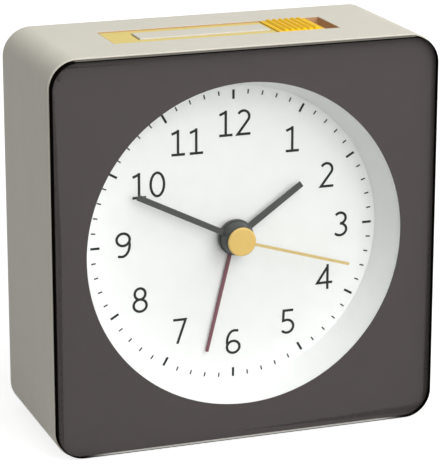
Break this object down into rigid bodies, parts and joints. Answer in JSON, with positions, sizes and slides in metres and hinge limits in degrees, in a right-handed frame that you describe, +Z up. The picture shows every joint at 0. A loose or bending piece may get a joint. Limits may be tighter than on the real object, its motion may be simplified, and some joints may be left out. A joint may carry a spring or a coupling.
{
  "type": "travel alarm clock",
  "caption": "Square travel alarm clock with a round window, four hands, a snooze key and alarm slider on top, setting knobs and a battery door behind.",
  "frame": {"origin": "middle of the clock's box, on the flat base it stands on", "axes": "+X to the right seen from the front, +Y from the dial to the back, +Z up; the dial faces -Y"},
  "size_m": [0.085, 0.0362, 0.0854],
  "materials": {
    "case_plastic": "fine-grained moulded ABS in warm light grey",
    "clear_lens": "polished clear acrylic",
    "mask_print": "dark warm grey screen print",
    "dial_white": "matt white plastic",
    "dial_ink": "dark grey printing ink",
    "hand_paint": "dark grey enamel on aluminium",
    "second_paint": "pale yellow enamel on aluminium",
    "alarm_paint": "maroon enamel on aluminium",
    "yellow_plastic": "satin yellow moulding",
    "pale_yellow_plastic": "satin pale yellow moulding",
    "brown_plastic": "dark brown moulding",
    "maroon_plastic": "satin maroon moulding",
    "black_plastic": "black glass-filled moulding",
    "wheel_nylon": "natural acetal moulding",
    "board_laminate": "green solder mask over laminate",
    "lead_film": "flat insulated lead",
    "spring_brass": "stamped brass leaf",
    "magnet_wire": "enamelled copper wire",
    "plated_steel": "nickel-plated steel",
    "soft_iron": "annealed sheet",
    "cell_jacket": "plain printed sleeve over a steel can"
  },
  "bodies": {
    "case": {"case_shell": "case_plastic", "front_lens": "clear_lens", "window_mask": "mask_print", "dial_ring": "dial_white", "dial": "dial_white", "dial_marks": "dial_ink", "dial_numerals": "dial_ink", "control_tray": "brown_plastic", "snooze_frame": "pale_yellow_plastic", "snooze_contact": "spring_brass", "control_board": "board_laminate", "ribbon_lead": "lead_film", "sounder_lead": "lead_film", "rear_cover": "case_plastic", "sounder": "black_plastic", "battery": "cell_jacket", "positive_contact": "plated_steel", "negative_contact": "plated_steel", "front_plate": "black_plastic", "rear_housing": "black_plastic", "circuit_board": "board_laminate", "driver_chip": "black_plastic", "quartz_crystal": "plated_steel", "stator": "soft_iron", "coil_bobbin": "wheel_nylon", "coil_winding": "magnet_wire", "alarm_contact": "spring_brass", "cover_screws": "plated_steel", "ring_screws": "plated_steel", "plate_screws": "plated_steel", "housing_screws": "plated_steel"},
    "seconds_work": {"second_hand": "second_paint", "hand_cap": "pale_yellow_plastic", "seconds_wheel": "wheel_nylon"},
    "rotor": {"rotor_magnet": "soft_iron", "rotor_pinion": "wheel_nylon"},
    "intermediate": {"intermediate_wheel": "wheel_nylon"},
    "third": {"third_wheel": "wheel_nylon"},
    "centre": {"centre_wheel": "spring_brass"},
    "minute_work": {"minute_hand": "hand_paint", "minute_arbor": "wheel_nylon"},
    "motion": {"motion_wheel": "wheel_nylon"},
    "hour_work": {"hour_hand": "hand_paint", "hour_wheel": "wheel_nylon"},
    "time_setter": {"time_knob": "yellow_plastic", "time_shaft": "wheel_nylon"},
    "alarm_work": {"alarm_hand": "alarm_paint", "alarm_wheel": "wheel_nylon"},
    "alarm_setter": {"alarm_knob": "maroon_plastic", "alarm_shaft": "wheel_nylon"},
    "snooze": {"snooze_key": "case_plastic"},
    "slider": {"alarm_slider": "yellow_plastic", "slider_contact": "spring_brass"},
    "door": {"battery_door": "case_plastic"}
  },
  "joints": [
    {"name": "seconds_turn", "type": "hinge", "parent": "case", "child": "seconds_work", "pos_m": [0, 0, 0.0425], "axis": [0, 1, 0], "continuous": true},
    {"name": "rotor_turn", "type": "hinge", "parent": "case", "child": "rotor", "pos_m": [0.01417, 0, 0.03708], "axis": [0, 1, 0], "continuous": true},
    {"name": "intermediate_turn", "type": "hinge", "parent": "case", "child": "intermediate", "pos_m": [0.00727, 0, 0.0383], "axis": [0, 1, 0], "continuous": true},
    {"name": "third_turn", "type": "hinge", "parent": "case", "child": "third", "pos_m": [-0.00736, 0, 0.03825], "axis": [0, 1, 0], "continuous": true},
    {"name": "centre_turn", "type": "hinge", "parent": "case", "child": "centre", "pos_m": [0, 0, 0.0425], "axis": [0, 1, 0], "continuous": true},
    {"name": "minute_turn", "type": "hinge", "parent": "case", "child": "minute_work", "pos_m": [0, 0, 0.0425], "axis": [0, 1, 0], "continuous": true},
    {"name": "motion_turn", "type": "hinge", "parent": "case", "child": "motion", "pos_m": [0, 0, 0.0515], "axis": [0, 1, 0], "continuous": true},
    {"name": "hour_turn", "type": "hinge", "parent": "case", "child": "hour_work", "pos_m": [0, 0, 0.0425], "axis": [0, 1, 0], "continuous": true},
    {"name": "time_knob_turn", "type": "hinge", "parent": "case", "child": "time_setter", "pos_m": [-0.00779, 0, 0.047], "axis": [0, 1, 0], "continuous": true},
    {"name": "alarm_turn", "type": "hinge", "parent": "case", "child": "alarm_work", "pos_m": [0, 0, 0.0425], "axis": [0, 1, 0], "continuous": true},
    {"name": "alarm_knob_turn", "type": "hinge", "parent": "case", "child": "alarm_setter", "pos_m": [0.00779, 0, 0.047], "axis": [0, 1, 0], "continuous": true},
    {"name": "snooze_press", "type": "slide", "parent": "case", "child": "snooze", "axis": [0, 0, -1], "range_m": [0, 0.0009], "stiffness_N_per_m": 400, "deforming": ["snooze_contact"]},
    {"name": "alarm_slide", "type": "slide", "parent": "case", "child": "slider", "axis": [1, 0, 0], "range_m": [0, 0.003]},
    {"name": "door_hinge", "type": "hinge", "parent": "case", "child": "door", "pos_m": [0, 0.0173, 0.021], "axis": [1, 0, 0], "range_deg": [0, 90]}
  ],
  "couplings": [
    {"joint": "intermediate_turn", "follows": "seconds_turn", "ratio": -5},
    {"joint": "rotor_turn", "follows": "seconds_turn", "ratio": 30},
    {"joint": "third_turn", "follows": "seconds_turn", "ratio": -0.125},
    {"joint": "centre_turn", "follows": "seconds_turn", "ratio": 0.016667},
    {"joint": "motion_turn", "follows": "minute_turn", "ratio": -0.33333},
    {"joint": "hour_turn", "follows": "minute_turn", "ratio": 0.083333},
    {"joint": "time_knob_turn", "follows": "minute_turn", "ratio": 1},
    {"joint": "alarm_knob_turn", "follows": "alarm_turn", "ratio": -4}
  ]
}
